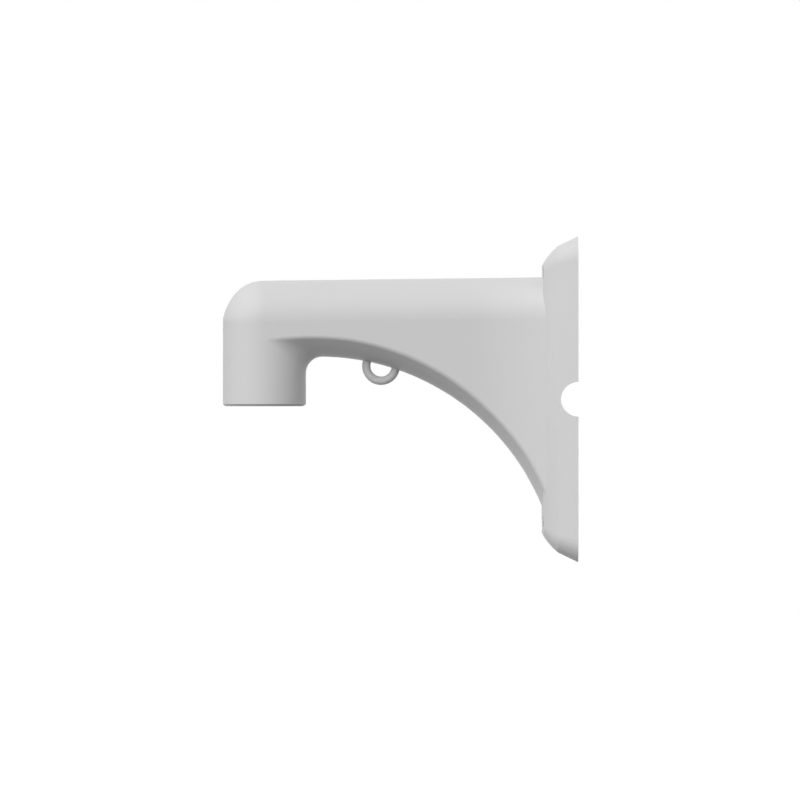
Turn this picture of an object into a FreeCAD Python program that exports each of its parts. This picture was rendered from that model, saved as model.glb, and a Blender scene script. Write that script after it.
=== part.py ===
"""Wall bracket for a pendant dome camera, cast in one piece: flange, curved hollow arm and threaded pipe.

Millimetres. The origin is the middle of the flange on the wall plane. The arm reaches along -X and +Z is up.
The bracket is the same on both sides of Y = 0.
"""

import FreeCAD, Part
import math
import os
import re

import Sketcher

# Driving sizes.
SIZES = {
    # Pipe at the free end, with the camera's thread inside.
    "pipe_diameter": 60.0,
    "pipe_reach": 225.7,
    "pipe_drop": 5.0,
    "mouth_bevel": 1.6,
    "thread_diameter": 47.8,
    "thread_length": 26.0,
    "thread_lead_in": 1.5,
    # Thickness of the casting's walls.
    "wall": 5.0,
    # Top of the arm: its height over the pipe, its rise towards the wall, the flat between its two rounds.
    "arm_top_height": 85.6,
    "arm_top_rise": 2.4,
    "arm_top_flat": 1.0,
    # Underside of the arm: one arc from its crest beside the pipe down to where it lands on the flange.
    "arm_depth": 54.8,
    "underside_radius": 174.0,
    "landing_drop": 78.0,
    "elbow_round": 12.0,
    "crease_round": 3.5,
    # The underside is crowned. Level with the flange's edge its arc is wider, further out and higher.
    "crown_growth": 10.9,
    "crown_shift_out": 13.7,
    "crown_shift_up": 35.1,
    # The arm's sides run straight, then bend outwards to the flange.
    "flare_bend": 52.9,
    "flare_angle": 15.9,
    "flare_radius": 150.0,
    # Flange: a plate that narrows forwards, then a rounded shoulder in two steps up to the flat front.
    "flange_width": 110.0,
    "flange_height": 234.0,
    "flange_corner": 16.0,
    "corner_shrink": 0.5,
    "plate_depth": 14.5,
    "plate_inset": 7.0,
    "shoulder_rear_depth": 6.0,
    "shoulder_rear_inset": 6.2,
    "shoulder_front_depth": 4.5,
    "shoulder_front_inset": 7.2,
    "plate_edge_round": 3.0,
    # Wall screws: through holes in round bosses, with wells for the heads in the flange's front.
    "screw_spacing_across": 58.0,
    "screw_spacing_up": 180.0,
    "screw_hole_diameter": 7.0,
    "screw_seat_thickness": 12.0,
    "screw_well_diameter": 13.0,
    "screw_boss_diameter": 19.0,
    # Half-round conduit entries in both sides of the plate.
    "conduit_notch_radius": 12.4,
    # Eye for the safety rope: a ring half buried in the arm's underside.
    "eye_reach": 141.5,
    "eye_centre_drop": 0.9,
    "eye_radius": 10.65,
    "eye_bar_diameter": 6.1,
}

# Distances that follow from the driving sizes, as formulas.
PIPE_RADIUS = "( pipe_diameter / 2 )"
FLANGE_DEPTH = "( plate_depth + shoulder_rear_depth + shoulder_front_depth )"
TOP_SLOPE = f"( arm_top_rise / ( pipe_reach - {FLANGE_DEPTH} ) )"
ELBOW_HEIGHT = f"( arm_top_height - {PIPE_RADIUS} )"
ARC_CENTRE_HEIGHT = "( arm_top_height - arm_depth - underside_radius )"
LANDING_UNDER_CENTRE = f"( landing_drop + {ARC_CENTRE_HEIGHT} )"
ARC_CENTRE_REACH = f"( {FLANGE_DEPTH} + sqrt( underside_radius ^ 2 - {LANDING_UNDER_CENTRE} ^ 2 ) )"
EYE_FROM_CENTRE = f"( {ARC_CENTRE_REACH} - eye_reach )"
UNDERSIDE_AT_EYE = f"( {ARC_CENTRE_HEIGHT} + sqrt( underside_radius ^ 2 - {EYE_FROM_CENTRE} ^ 2 ) )"
EYE_HEIGHT = f"( {UNDERSIDE_AT_EYE} - eye_centre_drop )"

TOLERANCE = 0.05
UPWARDS = FreeCAD.Vector(0, 0, 1)
# The line at which the pipe's round wall closes is turned away from the elbow, which is hard to round across it.
PIPE_SEAM_ANGLE = 135

doc = FreeCAD.newDocument("camera_bracket")
sheet = doc.addObject("Spreadsheet::Sheet", "sizes")
for row, (alias, size) in enumerate(SIZES.items(), start=1):
    sheet.set(f"A{row}", alias)
    sheet.set(f"B{row}", str(size))
    sheet.setAlias(f"B{row}", alias)
doc.recompute()


def from_sheet(formula):
    """The formula with the sheet's name before each of its cells."""
    return re.sub(r"[a-z_]+", lambda word: f"sizes.{word[0]}" if word[0] in SIZES else word[0], formula)


def number(formula):
    """What a formula comes to now, for a sketch's first guess and for finding edges."""
    result = sheet.evalExpression(from_sheet(formula))
    return float(getattr(result, "Value", result))


def bind(thing, path, formula):
    thing.setExpression(path, from_sheet(formula))


def plane_of(body, role):
    return next(datum for datum in body.Origin.OriginFeatures if datum.Role == role)


def sketch_on(body, name, role, offset="0"):
    """A sketch on one of the body's own planes, moved along that plane's normal."""
    sketch = body.newObject("Sketcher::SketchObject", name)
    sketch.AttachmentSupport = [(plane_of(body, role), "")]
    sketch.MapMode = "FlatFace"
    bind(sketch, "AttachmentOffset.Base.z", offset)
    return sketch


def relate(sketch, kind, *elements):
    sketch.addConstraint(Sketcher.Constraint(kind, *elements))


def dimension(sketch, name, kind, elements, formula):
    """A named dimension of a sketch that follows the sheet."""
    index = sketch.addConstraint(Sketcher.Constraint(kind, *elements, number(formula)))
    sketch.renameConstraint(index, name)
    bind(sketch, f"Constraints.{name}", formula)


def line(sketch, start, end):
    return sketch.addGeometry(Part.LineSegment(FreeCAD.Vector(*start, 0), FreeCAD.Vector(*end, 0)))


def join(sketch, start, end):
    """A line between two ends of arcs, taken from the arcs themselves so that they meet exactly."""
    points = []
    for curve, which in (start, end):
        points.append(getattr(sketch.Geometry[curve], "StartPoint" if which == 1 else "EndPoint"))
    return sketch.addGeometry(Part.LineSegment(*points))


def arc(sketch, centre, radius, begin, end):
    circle = Part.Circle(FreeCAD.Vector(*centre, 0), UPWARDS, radius)
    return sketch.addGeometry(Part.ArcOfCircle(circle, begin, end))


def circle(sketch, centre, radius):
    return sketch.addGeometry(Part.Circle(FreeCAD.Vector(*centre, 0), UPWARDS, radius))


def one_circle(body, name, role, offset, across, up, radius):
    """A sketch of one circle, its centre given by formulas in the sketch's axes, or None for on them."""
    sketch = sketch_on(body, name, role, offset)
    centre = (number(across) if across else 0, number(up) if up else 0)
    ring = circle(sketch, centre, number(radius))
    dimension(sketch, "radius", "Radius", (ring,), radius)
    if across:
        dimension(sketch, "across", "DistanceX", (-1, 1, ring, 3), across)
    else:
        relate(sketch, "PointOnObject", ring, 3, -2)
    if up:
        dimension(sketch, "up", "DistanceY", (-1, 1, ring, 3), up)
    else:
        relate(sketch, "PointOnObject", ring, 3, -1)
    return sketch


def screw_circles(body, name, offset, diameter):
    """A sketch of one circle at each wall screw."""
    sketch = sketch_on(body, name, "YZ_Plane", offset)
    half_across, half_up = "screw_spacing_across / 2", "screw_spacing_up / 2"
    radius = f"{diameter} / 2"
    for side, across in (("left", 1), ("right", -1)):
        for level, up in (("upper", 1), ("lower", -1)):
            ring = circle(sketch, (across * number(half_across), up * number(half_up)), number(radius))
            outwards = (-1, 1, ring, 3) if across > 0 else (ring, 3, -1, 1)
            away = (-1, 1, ring, 3) if up > 0 else (ring, 3, -1, 1)
            dimension(sketch, f"across_{side}_{level}", "DistanceX", outwards, half_across)
            dimension(sketch, f"up_{side}_{level}", "DistanceY", away, half_up)
            dimension(sketch, f"radius_{side}_{level}", "Radius", (ring,), radius)
    return sketch


def rounded_rectangle(body, name, offset, half_width, half_height, corner):
    """A rectangle with round corners about the middle of the flange, parallel to the wall."""
    sketch = sketch_on(body, name, "YZ_Plane", offset)
    wide, high, turn = number(half_width), number(half_height), number(corner)
    flat_wide, flat_high = wide - turn, high - turn
    top_right = arc(sketch, (flat_wide, flat_high), turn, 0, math.pi / 2)
    top_left = arc(sketch, (-flat_wide, flat_high), turn, math.pi / 2, math.pi)
    bottom_left = arc(sketch, (-flat_wide, -flat_high), turn, math.pi, 3 * math.pi / 2)
    bottom_right = arc(sketch, (flat_wide, -flat_high), turn, 3 * math.pi / 2, 2 * math.pi)
    top = join(sketch, (top_left, 1), (top_right, 2))
    right = join(sketch, (top_right, 1), (bottom_right, 2))
    bottom = join(sketch, (bottom_right, 1), (bottom_left, 2))
    left = join(sketch, (bottom_left, 1), (top_left, 2))
    for first, first_end, second, second_end in (
        (top, 2, top_right, 2),
        (top_right, 1, right, 1),
        (right, 2, bottom_right, 2),
        (bottom_right, 1, bottom, 1),
        (bottom, 2, bottom_left, 2),
        (bottom_left, 1, left, 1),
        (left, 2, top_left, 2),
        (top_left, 1, top, 1),
    ):
        relate(sketch, "Tangent", first, first_end, second, second_end)
    for other in (top_left, bottom_left, bottom_right):
        relate(sketch, "Equal", top_right, other)
    relate(sketch, "Symmetric", top, 1, top, 2, -2)
    relate(sketch, "Symmetric", right, 1, right, 2, -1)
    relate(sketch, "Horizontal", bottom)
    relate(sketch, "Vertical", left)
    dimension(sketch, "half_width", "DistanceX", (-1, 1, right, 1), half_width)
    dimension(sketch, "half_height", "DistanceY", (-1, 1, top, 1), half_height)
    dimension(sketch, "corner", "Radius", (top_right,), corner)
    return sketch


def edges_where(feature, test):
    """The names of a feature's edges whose ends and middle all pass the test."""
    names = []
    for index, edge in enumerate(feature.Shape.Edges, start=1):
        middle = edge.valueAt((edge.FirstParameter + edge.LastParameter) / 2)
        points = [vertex.Point for vertex in edge.Vertexes] + [middle]
        if all(test(point) for point in points):
            names.append(f"Edge{index}")
    return names


def round_edges(body, name, base, edges, radius):
    rounded = body.newObject("PartDesign::Fillet", name)
    rounded.Base = (base, edges)
    bind(rounded, "Radius", radius)
    doc.recompute()
    return rounded


def raise_up(body, name, outline, height):
    pad = body.newObject("PartDesign::Pad", name)
    pad.Profile = outline
    bind(pad, "Length", height)
    doc.recompute()
    return pad


def cut(body, name, outline, depth, both_ways=False, reversed_way=False):
    """A pocket. One that points away from the solid would cut nothing, so what it takes is looked at."""
    before = body.Shape.Volume
    pocket = body.newObject("PartDesign::Pocket", name)
    pocket.Profile = outline
    pocket.Type = "Length"
    pocket.Midplane = both_ways
    pocket.Reversed = reversed_way
    bind(pocket, "Length", depth)
    doc.recompute()
    if pocket.Shape.Volume >= before:
        raise RuntimeError(f"{name} cuts nothing")
    return pocket


def loft(body, kind, name, sketches, ruled=False):
    through = body.newObject(kind, name)
    through.Profile = sketches[0]
    through.Sections = sketches[1:]
    through.Ruled = ruled
    doc.recompute()
    return through


# The arm. Its outer form and the hollow in it are made by the same steps, the hollow a wall further in.


def side_of_arm(x):
    """How far the arm's side stands from the middle plane."""
    half, bend, radius = number(PIPE_RADIUS), -number("flare_bend"), number("flare_radius")
    angle = math.radians(number("flare_angle"))
    start = bend - radius * math.tan(angle / 2)
    if x <= start:
        return half
    if x < start + radius * math.sin(angle):
        return half + radius - math.sqrt(radius**2 - (x - start) ** 2)
    return half + (x - bend) * math.tan(angle)


def top_of_arm(x):
    return number("arm_top_height") + number(TOP_SLOPE) * (x + number("pipe_reach"))


def outline_from_above(body, name, inset, root):
    """Round over the pipe, straight along the arm, then spread out to the root, inside the flange."""
    sketch = sketch_on(body, name, "XY_Plane", "0 - flange_height / 2")
    half = f"{PIPE_RADIUS} - {inset}"
    root_half = f"{half} + ( flare_bend - ( {root} ) ) * tan( flare_angle )"
    reach, bend, end = number("pipe_reach"), number("flare_bend"), number(root)
    near, far = number(half), number(root_half)
    tip = arc(sketch, (-reach, 0), near, math.pi / 2, 3 * math.pi / 2)
    closing = line(sketch, (-end, far), (-end, -far))
    for label, side, which in (("left", 1, 1), ("right", -1, 2)):
        straight = line(sketch, (-reach, side * near), (-bend, side * near))
        slant = line(sketch, (-bend, side * near), (-end, side * far))
        relate(sketch, "Tangent", tip, which, straight, 1)
        relate(sketch, "Coincident", straight, 2, slant, 1)
        relate(sketch, "Coincident", slant, 2, closing, which)
        relate(sketch, "Horizontal", straight)
        dimension(sketch, f"bend_{label}", "DistanceX", (straight, 2, -1, 1), "flare_bend")
    relate(sketch, "Symmetric", closing, 1, closing, 2, -1)
    relate(sketch, "PointOnObject", tip, 3, -1)
    dimension(sketch, "reach", "DistanceX", (tip, 3, -1, 1), "pipe_reach")
    dimension(sketch, "half_width", "Radius", (tip,), half)
    dimension(sketch, "root", "DistanceX", (closing, 1, -1, 1), root)
    dimension(sketch, "root_half", "DistanceY", (-1, 1, closing, 1), root_half)
    return sketch


def above_the_top(body, name):
    """All that lies above the arm's sloping top line, seen from the side."""
    sketch = sketch_on(body, name, "XZ_Plane")
    far = "pipe_reach + pipe_diameter"
    low = f"arm_top_height - pipe_diameter * {TOP_SLOPE}"
    high = f"arm_top_height + pipe_reach * {TOP_SLOPE}"
    ceiling = "flange_height"
    corners = [
        (-number(far), number(low)),
        (0, number(high)),
        (0, number(ceiling)),
        (-number(far), number(ceiling)),
    ]
    sides = [line(sketch, start, end) for start, end in zip(corners, corners[1:] + corners[:1])]
    for first, second in zip(sides, sides[1:] + sides[:1]):
        relate(sketch, "Coincident", first, 2, second, 1)
    slope, at_wall, top, outer = sides
    relate(sketch, "Horizontal", top)
    relate(sketch, "Vertical", outer)
    relate(sketch, "PointOnObject", at_wall, 1, -2)
    relate(sketch, "PointOnObject", at_wall, 2, -2)
    dimension(sketch, "far", "DistanceX", (slope, 1, -1, 1), far)
    dimension(sketch, "low", "DistanceY", (-1, 1, slope, 1), low)
    dimension(sketch, "high", "DistanceY", (-1, 1, slope, 2), high)
    dimension(sketch, "ceiling", "DistanceY", (-1, 1, top, 1), ceiling)
    return sketch


def arm(body, inset, root, slope_top):
    """A block with the arm's outline, rounded on top, its underside cut to the crowned arc.

    The outer top slopes up towards the wall. The hollow's top is level, so its end over the pipe is round.
    """
    outline = outline_from_above(body, f"{body.Name}_arm_outline", inset, root)
    extra = "arm_top_rise * 2" if slope_top else f"0 - {inset}"
    block_height = f"flange_height / 2 + arm_top_height + {extra}"
    block = raise_up(body, f"{body.Name}_arm_block", outline, block_height)
    bends = edges_where(block, lambda point: abs(point.x + number("flare_bend")) < TOLERANCE)
    edges = block.Shape.getElement
    upright = [name for name in bends if edges(name).BoundBox.ZLength > number("flange_width")]
    round_edges(body, f"{body.Name}_flare", block, upright, f"flare_radius + {inset}")
    shaped, end = body.Tip, -number(root)
    if slope_top:
        above = above_the_top(body, f"{body.Name}_above_arm")
        shaped = cut(body, f"{body.Name}_arm_slope", above, "flange_width * 2", both_ways=True)

    def on_top(point):
        height = top_of_arm(point.x) if slope_top else number(f"arm_top_height - {inset}")
        return abs(point.z - height) < TOLERANCE

    def at_root(point):
        return point.x > end - TOLERANCE

    edges = [name for name in edges_where(shaped, on_top) if name not in edges_where(shaped, at_root)]
    round_edges(body, f"{body.Name}_arm_top", shaped, edges, f"{PIPE_RADIUS} - {inset} - arm_top_flat / 2")

    side_reach = f"{ARC_CENTRE_REACH} + crown_shift_out"
    side_height = f"{ARC_CENTRE_HEIGHT} + crown_shift_up"
    side_radius = f"underside_radius + crown_growth + {inset}"
    arcs = []
    for place, offset, reach, height, radius in (
        ("near", "0 - flange_width / 2", side_reach, side_height, side_radius),
        ("middle", "0", ARC_CENTRE_REACH, ARC_CENTRE_HEIGHT, f"underside_radius + {inset}"),
        ("far", "flange_width / 2", side_reach, side_height, side_radius),
    ):
        name = f"{body.Name}_arc_{place}"
        arcs.append(one_circle(body, name, "XZ_Plane", offset, f"0 - ( {reach} )", height, radius))
    return loft(body, "PartDesign::SubtractiveLoft", f"{body.Name}_underside", arcs)


casting = doc.addObject("PartDesign::Body", "bracket_casting")
OUTER_ROOT = "plate_depth + shoulder_rear_depth / 2"
arched = arm(casting, "0", OUTER_ROOT, slope_top=True)


def on_crease(point):
    """Where the arm's flat side turns into its underside."""
    below_round = point.z < top_of_arm(point.x) - number(PIPE_RADIUS) - TOLERANCE
    on_side = abs(abs(point.y) - side_of_arm(point.x)) < TOLERANCE
    return below_round and on_side and point.x > -number("pipe_reach") + TOLERANCE


def sloping(feature, names):
    """Of these edges, those that aren't upright."""
    return [name for name in names if feature.Shape.getElement(name).BoundBox.XLength > 1]


creases = sloping(arched, edges_where(arched, on_crease))
creased = round_edges(casting, "crease", arched, creases, "crease_round")

pipe = casting.newObject("PartDesign::AdditiveCylinder", "pipe")
pipe.AttachmentSupport = [(plane_of(casting, "XY_Plane"), "")]
pipe.MapMode = "FlatFace"
pipe.AttachmentOffset = FreeCAD.Placement(FreeCAD.Vector(), FreeCAD.Rotation(UPWARDS, PIPE_SEAM_ANGLE))
bind(pipe, "AttachmentOffset.Base.x", "0 - pipe_reach")
bind(pipe, "AttachmentOffset.Base.z", "0 - pipe_drop")
bind(pipe, "Radius", PIPE_RADIUS)
bind(pipe, "Height", f"pipe_drop + {ELBOW_HEIGHT} - mouth_bevel")
doc.recompute()


def from_pipe_axis(point):
    return math.hypot(point.x + number("pipe_reach"), point.y)


def under_the_elbow(point):
    """Where the arm's underside runs into the pipe."""
    on_pipe = abs(from_pipe_axis(point) - number(PIPE_RADIUS)) < TOLERANCE
    beside = point.x > -number("pipe_reach") - TOLERANCE
    return on_pipe and beside and 0 < point.z < number(ELBOW_HEIGHT) - TOLERANCE


elbow_edges = sloping(pipe, edges_where(pipe, under_the_elbow))
elbow = round_edges(casting, "elbow", pipe, elbow_edges, "elbow_round")

# The flange: sections from the wall forwards, each by its depth and how far it lies inside the outline.
BACK = ("back", "0", "0")
PLATE_EDGE = ("plate_edge", "plate_depth", "plate_inset")
SHOULDER = ("shoulder", "plate_depth + shoulder_rear_depth", "plate_inset + shoulder_rear_inset")
FRONT_INSET = "plate_inset + shoulder_rear_inset + shoulder_front_inset"
FRONT = ("front", FLANGE_DEPTH, FRONT_INSET)


def flange_sections(body, name, sections, inward):
    sketches = []
    for label, depth, inset in sections:
        total = f"( {inset} + {inward} )"
        width, height = f"flange_width / 2 - {total}", f"flange_height / 2 - {total}"
        corner = f"flange_corner - {total} * corner_shrink"
        offset = f"0 - ( {depth} )"
        sketches.append(rounded_rectangle(body, f"{name}_{label}", offset, width, height, corner))
    return sketches


shoulder_sections = flange_sections(casting, "shoulder", (PLATE_EDGE, SHOULDER, FRONT), "0")
loft(casting, "PartDesign::AdditiveLoft", "shoulder", shoulder_sections)
plate_sections = flange_sections(casting, "plate", (BACK, PLATE_EDGE), "0")
plate = loft(casting, "PartDesign::AdditiveLoft", "plate", plate_sections, ruled=True)


edge_of_plate = edges_where(plate, lambda point: abs(point.x + number("plate_depth")) < TOLERANCE)
round_edges(casting, "plate_rim", plate, edge_of_plate, "plate_edge_round")

# The eye: a full ring, of which the upper half lies in the arm's wall.
bar = sketch_on(casting, "eye_bar", "XY_Plane", EYE_HEIGHT)
bind(bar, "AttachmentOffset.Base.x", "0 - eye_reach")
bar_section = circle(bar, (number("eye_radius"), 0), number("eye_bar_diameter / 2"))
relate(bar, "PointOnObject", bar_section, 3, -1)
dimension(bar, "ring_radius", "DistanceX", (-1, 1, bar_section, 3), "eye_radius")
dimension(bar, "bar_radius", "Radius", (bar_section,), "eye_bar_diameter / 2")
eye = casting.newObject("PartDesign::Revolution", "eye")
eye.Profile = bar
eye.ReferenceAxis = (bar, ["V_Axis"])
eye.Angle = 360
doc.recompute()

# The hollow: the cable's way through the arm, and the open back of the flange with the bosses left standing.
hollow_form = doc.addObject("PartDesign::Body", "hollow_form")
arm(hollow_form, "wall", "plate_depth", slope_top=False)
passage_outline = one_circle(
    hollow_form,
    "passage_outline",
    "XY_Plane",
    "thread_length - pipe_drop",
    "0 - pipe_reach",
    None,
    f"{PIPE_RADIUS} - wall",
)
passage_height = f"pipe_drop - thread_length + {ELBOW_HEIGHT} - mouth_bevel"
raise_up(hollow_form, "passage", passage_outline, passage_height)
BEHIND = ("behind", "0 - wall", "0 - plate_inset * wall / plate_depth")
INNER_FRONT = ("front", f"{FLANGE_DEPTH} - wall", FRONT_INSET)
cavity_sections = flange_sections(hollow_form, "cavity", (BEHIND, PLATE_EDGE, INNER_FRONT), "wall")
loft(hollow_form, "PartDesign::AdditiveLoft", "cavity", cavity_sections, ruled=True)
boss_outlines = screw_circles(hollow_form, "boss_outlines", "wall", "screw_boss_diameter")
cut(hollow_form, "bosses", boss_outlines, f"{FLANGE_DEPTH} + wall")

hollow = casting.newObject("PartDesign::Boolean", "hollow")
hollow.Type = "Cut"
hollow.setObjects([hollow_form])
doc.recompute()

# The thread's bore opens into the passage. It is as wide as the thread's roots, without the fine ridges.
bore_outline = one_circle(
    casting, "bore_outline", "XY_Plane", "0 - pipe_drop", "0 - pipe_reach", None, "thread_diameter / 2"
)
bore = cut(casting, "thread_bore", bore_outline, "thread_length + wall", reversed_way=True)


def at_mouth(radius):
    """A test for the edges of this radius on the mouth's flat end."""
    level, wanted = -number("pipe_drop"), number(radius)

    def test(point):
        return abs(point.z - level) < TOLERANCE and abs(from_pipe_axis(point) - wanted) < TOLERANCE

    return test


lead_in = casting.newObject("PartDesign::Chamfer", "thread_lead_in")
lead_in.Base = (bore, edges_where(bore, at_mouth("thread_diameter / 2")))
bind(lead_in, "Size", "thread_lead_in")
doc.recompute()
mouth = casting.newObject("PartDesign::Chamfer", "mouth")
mouth.Base = (lead_in, edges_where(lead_in, at_mouth(PIPE_RADIUS)))
bind(mouth, "Size", "mouth_bevel")
doc.recompute()

hole_outlines = screw_circles(casting, "hole_outlines", "0", "screw_hole_diameter")
cut(casting, "screw_holes", hole_outlines, FLANGE_DEPTH)
well_outlines = screw_circles(casting, "well_outlines", "0 - screw_seat_thickness", "screw_well_diameter")
cut(casting, "screw_wells", well_outlines, FLANGE_DEPTH)
notch_outline = one_circle(casting, "notch_outline", "XZ_Plane", "0", None, None, "conduit_notch_radius")
cut(casting, "conduit_notches", notch_outline, "flange_width * 2", both_ways=True)

casting.Label = "bracket_casting"
casting.Placement = FreeCAD.Placement()
doc.recompute()

PARTS = (casting,)
for item in doc.Objects:
    if "Invalid" in item.State or "Error" in item.State:
        raise RuntimeError(f"{item.Name} failed: {item.State}")
for piece in PARTS:
    if piece.Shape.isNull() or not piece.Shape.isValid():
        raise RuntimeError(f"{piece.Label} has no valid shape")

os.makedirs("parts", exist_ok=True)
for piece in PARTS:
    piece.Shape.exportStep(f"parts/{piece.Label}.step")
    box = piece.Shape.optimalBoundingBox()
    print(piece.Label, len(piece.Shape.Solids), "solid,", round(piece.Shape.Volume / 1000, 1), "cm3")
    for low, high in ((box.XMin, box.XMax), (box.YMin, box.YMax), (box.ZMin, box.ZMax)):
        print(f"  {low:.1f} to {high:.1f}")
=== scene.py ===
# %% [markdown]
# # Wall bracket for a dome camera
# One painted aluminium casting: a flange for the wall, a hollow arm and a threaded pipe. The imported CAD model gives
# its true form, so this lesson adds what CAD leaves out: the thread's ridges, the powder coat, the light and the
# camera. Everything is in metres. The wall is the plane x = 0, the arm reaches along -x and +z is up.

import math

import bpy
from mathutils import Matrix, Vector


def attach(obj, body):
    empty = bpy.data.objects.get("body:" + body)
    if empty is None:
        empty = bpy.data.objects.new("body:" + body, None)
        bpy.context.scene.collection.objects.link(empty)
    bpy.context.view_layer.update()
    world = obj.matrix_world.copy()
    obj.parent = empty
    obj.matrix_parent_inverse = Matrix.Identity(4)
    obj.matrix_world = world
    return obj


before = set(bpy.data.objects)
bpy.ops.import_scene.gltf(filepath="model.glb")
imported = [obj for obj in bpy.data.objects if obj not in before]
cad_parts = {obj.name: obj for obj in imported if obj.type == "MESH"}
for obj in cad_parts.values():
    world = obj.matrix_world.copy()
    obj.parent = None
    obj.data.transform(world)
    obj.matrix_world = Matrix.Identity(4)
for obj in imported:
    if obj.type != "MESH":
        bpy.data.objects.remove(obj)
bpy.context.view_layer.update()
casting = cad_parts["bracket_casting"]

# %% [markdown]
# ## Shader maths as plain Python
# A material is a graph of nodes. Wiring one by hand takes many lines, so a small class wraps an output socket and
# turns `a * 0.2 + 0.4` into Math nodes. One method makes any other node from its type, settings and inputs.

# %% A socket that can do sums
class Socket:
    """The output of a shader node. Sums on it add Math nodes to its material."""

    def __init__(self, paint, output):
        self.paint = paint
        self.output = output

    def _math(self, operation, first, second):
        return self.paint.node("ShaderNodeMath", {"operation": operation}, {0: first, 1: second})

    def __add__(self, other):
        return self._math("ADD", self, other)

    def __radd__(self, other):
        return self._math("ADD", other, self)

    def __sub__(self, other):
        return self._math("SUBTRACT", self, other)

    def __rsub__(self, other):
        return self._math("SUBTRACT", other, self)

    def __mul__(self, other):
        return self._math("MULTIPLY", self, other)

    def __rmul__(self, other):
        return self._math("MULTIPLY", other, self)


class Paint:
    """A node tree that is filled in by short calls."""

    def __init__(self, tree):
        self.tree = tree

    def node(self, kind, settings=None, inputs=None, output=0):
        made = self.tree.nodes.new(kind)
        for name, value in (settings or {}).items():
            setattr(made, name, value)
        for name, value in (inputs or {}).items():
            if isinstance(value, Socket):
                self.tree.links.new(value.output, made.inputs[name])
            else:
                made.inputs[name].default_value = value
        return Socket(self, made.outputs[output])


def new_material(name):
    """An empty material with its Principled shader, whose sockets the finish then sets."""
    material = bpy.data.materials.new(name)
    material.use_nodes = True
    material.node_tree.nodes.clear()
    paint = Paint(material.node_tree)
    shader = material.node_tree.nodes.new("ShaderNodeBsdfPrincipled")
    output = material.node_tree.nodes.new("ShaderNodeOutputMaterial")
    material.node_tree.links.new(shader.outputs["BSDF"], output.inputs["Surface"])
    return material, paint, shader


def feed(paint, shader, socket, value):
    paint.tree.links.new(value.output, shader.inputs[socket])

# %% [markdown]
# ## Powder coat
# Such castings are sprayed with dry powder and baked. The film is an even light grey with a satin sheen. It flows a
# little as it melts, which leaves soft dimples about a millimetre across, called orange peel, over a finer grain. A
# flat colour would look like plastic foam, and a picture of paint would stretch over the curves, so both grains are
# noise in the object's own coordinates. They drive a very light bump, and the sheen changes a little with them.

# %% Values of the powder coat
GREY = 0.612
GREY_SPREAD = 0.015
SATIN_ROUGHNESS = 0.44
CLOUD_IN_ROUGHNESS = 0.10
GRAIN_IN_ROUGHNESS = 0.06
COAT_GLOSS = 0.3
PEEL_SCALE = 520.0
GRAIN_SCALE = 2300.0
CLOUD_SCALE = 26.0
GRAIN_IN_BUMP = 0.18
DIMPLE_STRENGTH = 0.16
DIMPLE_DEPTH = 0.0003
print(f"coat: grey {GREY}, roughness {SATIN_ROUGHNESS}")

# %% Make the powder coat
def grey(value):
    return (value, value, value, 1.0)


def mix_colours(paint, factor, first, second):
    colours = {"Factor": factor, "A": grey(first), "B": grey(second)}
    return paint.node("ShaderNodeMix", {"data_type": "RGBA"}, colours, output="Result")


def noise(paint, scale, detail, roughness):
    place = paint.node("ShaderNodeTexCoord", output="Object")
    texture = {"Vector": place, "Scale": scale, "Detail": detail, "Roughness": roughness}
    return paint.node("ShaderNodeTexNoise", {}, texture)


def powder_coat(name):
    material, paint, shader = new_material(name)
    peel = noise(paint, PEEL_SCALE, 1.0, 0.4)
    grain = noise(paint, GRAIN_SCALE, 1.0, 0.5)
    cloud = noise(paint, CLOUD_SCALE, 2.0, 0.5)
    feed(paint, shader, "Base Color", mix_colours(paint, cloud, GREY * (1 - GREY_SPREAD), GREY * (1 + GREY_SPREAD)))
    swing = CLOUD_IN_ROUGHNESS * (cloud - 0.5) + GRAIN_IN_ROUGHNESS * (grain - 0.5)
    feed(paint, shader, "Roughness", SATIN_ROUGHNESS + swing)
    relief = {"Height": peel + grain * GRAIN_IN_BUMP, "Strength": DIMPLE_STRENGTH, "Distance": DIMPLE_DEPTH}
    feed(paint, shader, "Normal", paint.node("ShaderNodeBump", {}, relief))
    shader.inputs["Specular IOR Level"].default_value = COAT_GLOSS
    return material


coat = powder_coat("powder_coat")
casting.data.materials.clear()
casting.data.materials.append(coat)
print("coat on:", casting.name)

# %% [markdown]
# ## The pipe's thread
# The camera screws into the pipe. On the real bracket the thread is cut after casting: a V-shaped groove of 11 turns
# to the inch. CAD left a plain bore as wide as the groove's floor, so only the ridge between the turns is missing.
# It could be drawn point by point as a helix. It is easier to draw the ridge's section once, a triangle on the
# bore's wall, and let the Screw modifier carry it round and up.

# %% Sizes of the thread
def deselect_all():
    if bpy.context.object and bpy.context.object.mode != "OBJECT":
        bpy.ops.object.mode_set(mode="OBJECT")
    bpy.ops.object.select_all(action="DESELECT")


PIPE_X = -0.2257
MOUTH_Z = -0.005
BORE_RADIUS = 0.0239
PITCH = 0.0254 / 11
RIDGE_HEIGHT = 0.64 * PITCH
TURNS = 9
FIRST_TURN_Z = MOUTH_Z + 0.0022
SUNK = 0.0004
HALF_FOOT = 0.48 * PITCH
CREST_ROUND = 0.00012
STEPS_A_TURN = 72
RUN_OUT = 0.6 * PITCH
SMOOTH_UP_TO = math.radians(35)
print(f"thread: pitch {PITCH * 1000:.3f} mm, ridge {RIDGE_HEIGHT * 1000:.2f} mm, {TURNS} turns")

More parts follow.
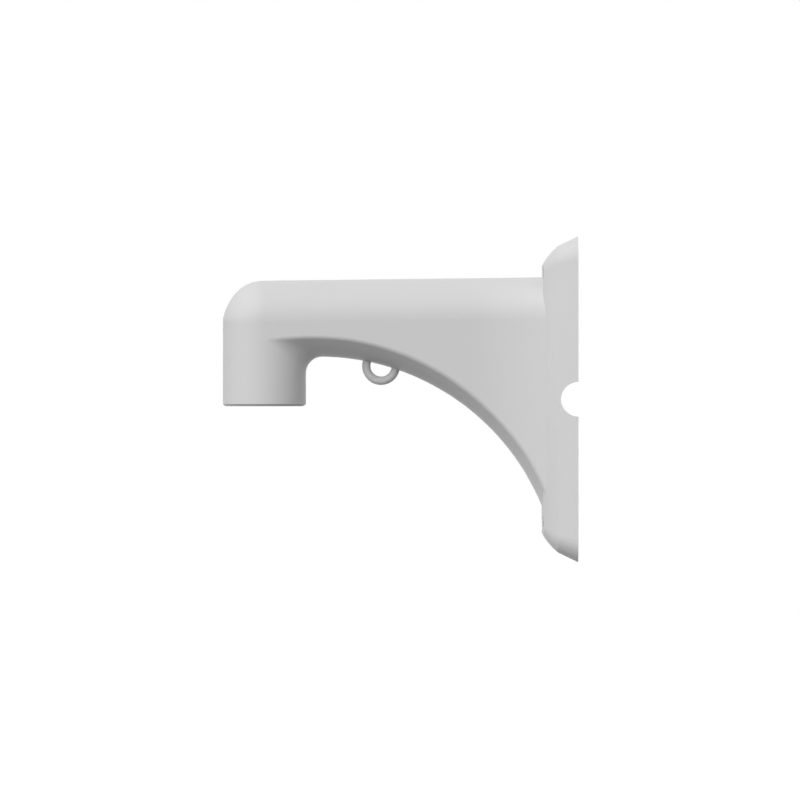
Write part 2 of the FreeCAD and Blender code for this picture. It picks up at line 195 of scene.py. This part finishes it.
# %% Model the ridge
deselect_all()
bpy.ops.mesh.primitive_circle_add(vertices=3, radius=PITCH / 2, fill_type="NOTHING", location=(0, 0, 0))
ridge = bpy.context.object
ridge.name = "pipe_thread"
foot, crest = BORE_RADIUS + SUNK, BORE_RADIUS - RIDGE_HEIGHT
corners = ((foot, -HALF_FOOT), (crest, 0.0), (foot, HALF_FOOT))
for vertex, (radius, height) in zip(ridge.data.vertices, corners):
    vertex.co = (radius, 0.0, height)
bpy.ops.object.mode_set(mode="EDIT")
bpy.ops.mesh.select_all(action="SELECT")
bpy.ops.mesh.bevel(offset=CREST_ROUND, segments=2, affect="VERTICES")
bpy.ops.object.mode_set(mode="OBJECT")

screw = ridge.modifiers.new("turns", "SCREW")
screw.axis = "Z"
screw.angle = math.tau
screw.screw_offset = PITCH
screw.iterations = TURNS
screw.steps = STEPS_A_TURN
screw.render_steps = STEPS_A_TURN
screw.use_merge_vertices = False
bpy.ops.object.modifier_apply(modifier=screw.name)
print("ridge:", len(ridge.data.vertices), "points")

# %% [markdown]
# The tap that cuts a thread enters and leaves gradually, so the ridge grows out of the wall over the first half
# turn or so, and sinks back over the last. Its open ends are then closed, and it is moved into the bore.

# %% Run the thread out at both ends
ridge_length = TURNS * PITCH
run_out_radius = BORE_RADIUS + SUNK / 2
for vertex in ridge.data.vertices:
    radius = math.hypot(vertex.co.x, vertex.co.y)
    angle = math.atan2(vertex.co.y, vertex.co.x)
    along = min(vertex.co.z, ridge_length - vertex.co.z) / RUN_OUT
    shown = min(max(along, 0.0), 1.0)
    if radius < BORE_RADIUS:
        radius = run_out_radius - (run_out_radius - radius) * shown
    vertex.co.x = radius * math.cos(angle)
    vertex.co.y = radius * math.sin(angle)

bpy.ops.object.mode_set(mode="EDIT")
bpy.ops.mesh.select_all(action="SELECT")
bpy.ops.mesh.region_to_loop()
bpy.ops.mesh.edge_face_add()
bpy.ops.mesh.select_all(action="SELECT")
bpy.ops.mesh.normals_make_consistent(inside=False)
bpy.ops.transform.translate(value=(PIPE_X, 0, FIRST_TURN_Z))
bpy.ops.object.mode_set(mode="OBJECT")
bpy.ops.object.shade_smooth_by_angle(angle=SMOOTH_UP_TO)
ridge.data.materials.append(coat)
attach(ridge, "root")
thread_heights = [vertex.co.z for vertex in ridge.data.vertices]
print(f"thread from {min(thread_heights):.4f} to {max(thread_heights):.4f}")

# %% [markdown]
# ## Floor and surroundings
# The photograph shows the bracket before plain white, with no wall and no shadow in view, and its underside is in
# deep shade. The floor is a wide sheet well below the part. Seen straight or in a gloss it is nearly white and holds
# the part's shadow, but to the light that it throws back on the part it is a darker grey. From below it is clear,
# so that the pipe's mouth can be looked into.

# %% Tell the rays that see the background
def seen_directly(paint):
    """One for rays that come from the camera, or by way of a gloss or a clear body. Nought for all other light."""
    rays = paint.tree.nodes.new("ShaderNodeLightPath")
    ways = [Socket(paint, rays.outputs[f"Is {way} Ray"]) for way in ("Camera", "Glossy", "Transmission")]
    return paint.node("ShaderNodeMath", {"operation": "MINIMUM"}, {0: ways[0] + ways[1] + ways[2], 1: 1.0})

# %% Lay the floor
FLOOR_SIZE = 14.0
FLOOR_HEIGHT = -0.36
FLOOR_SEEN = 0.85
FLOOR_BOUNCE = 0.11
FLOOR_GLOW = 0.40
deselect_all()
bpy.ops.mesh.primitive_plane_add(size=FLOOR_SIZE, location=(0, 0, FLOOR_HEIGHT))
floor = bpy.context.object
floor.name = "floor"
floor_material, floor_paint, floor_shader = new_material("pale_floor")
seen = seen_directly(floor_paint)
feed(floor_paint, floor_shader, "Base Color", mix_colours(floor_paint, seen, FLOOR_BOUNCE, FLOOR_SEEN))
feed(floor_paint, floor_shader, "Emission Color", mix_colours(floor_paint, seen, 0.0, FLOOR_GLOW))
floor_shader.inputs["Emission Strength"].default_value = 1.0
floor_shader.inputs["Roughness"].default_value = 0.9
floor_shader.inputs["Specular IOR Level"].default_value = 0.1
from_below = floor_paint.node("ShaderNodeNewGeometry", output="Backfacing")
sheet = Socket(floor_paint, floor_shader.outputs["BSDF"])
clear = floor_paint.node("ShaderNodeBsdfTransparent")
one_sided = floor_paint.node("ShaderNodeMixShader", {}, {"Fac": from_below, 1: sheet, 2: clear})
floor_paint.tree.links.new(one_sided.output, floor_paint.tree.nodes["Material Output"].inputs["Surface"])
floor.data.materials.append(floor_material)
print(f"floor {FLOOR_SIZE} m wide at {FLOOR_HEIGHT} m")

# %% [markdown]
# The light comes from the world alone, as from three large diffusers: the main one high on the camera's left, a
# wide one behind the camera, and one at the back for the far side. Each is a lobe that falls off from its own
# direction as a power of the cosine, so there are no hard shadows or small highlights. The camera and the coat's
# gloss see plain white in their place.

# %% Light from the world
world = bpy.data.worlds.new("studio")
bpy.context.scene.world = world
world.use_nodes = True
world.node_tree.nodes.clear()
sky = Paint(world.node_tree)
DIFFUSERS = (
    ((-1.15, -0.95, 0.95), 4.0, 2.42),
    ((0.0, -1.0, 0.0), 1.25, 1.23),
    ((0.2, 1.0, 0.5), 7.0, 2.60),
)
EVEN_LIGHT = 0.01
direction = sky.node("ShaderNodeTexCoord", output="Generated")
light = EVEN_LIGHT
for towards, sharpness, strength in DIFFUSERS:
    aim = tuple(Vector(towards).normalized())
    facing = sky.node("ShaderNodeVectorMath", {"operation": "DOT_PRODUCT"}, {0: direction, 1: aim}, output="Value")
    in_front = sky.node("ShaderNodeMath", {"operation": "MAXIMUM"}, {0: facing, 1: 0.0})
    light = light + strength * sky.node("ShaderNodeMath", {"operation": "POWER"}, {0: in_front, 1: sharpness})
lit = sky.node("ShaderNodeBackground", {}, {"Color": grey(1.0), "Strength": light})
white = sky.node("ShaderNodeBackground", {}, {"Color": grey(1.0), "Strength": 1.0})
mixed = sky.node("ShaderNodeMixShader", {}, {"Fac": seen_directly(sky), 1: lit, 2: white})
output = world.node_tree.nodes.new("ShaderNodeOutputWorld")
world.node_tree.links.new(mixed.output, output.inputs["Surface"])
print("diffusers:", len(DIFFUSERS))

# %% [markdown]
# ## Camera
# The photograph looks squarely at the bracket's side, from far away through a long lens, so that parallel edges stay
# parallel. The picture is 577.6 mm wide at the bracket's middle plane, which sets the distance.

# %% Aim the camera
PICTURE_WIDTH = 0.5776
AIM = Vector((-0.1278, 0.0, 0.0002))
lens = bpy.data.cameras.new("side_view")
lens.lens = 400.0
lens.sensor_width = 36.0
distance = PICTURE_WIDTH * lens.lens / lens.sensor_width
lens.clip_end = 60.0
camera = bpy.data.objects.new("side_view", lens)
bpy.context.scene.collection.objects.link(camera)
camera.location = AIM + Vector((0.0, -distance, 0.0))
camera.rotation_euler = (math.radians(90), 0.0, 0.0)
bpy.context.scene.camera = camera
bpy.context.scene.view_settings.view_transform = "Standard"
print(f"camera {distance:.3f} m away")
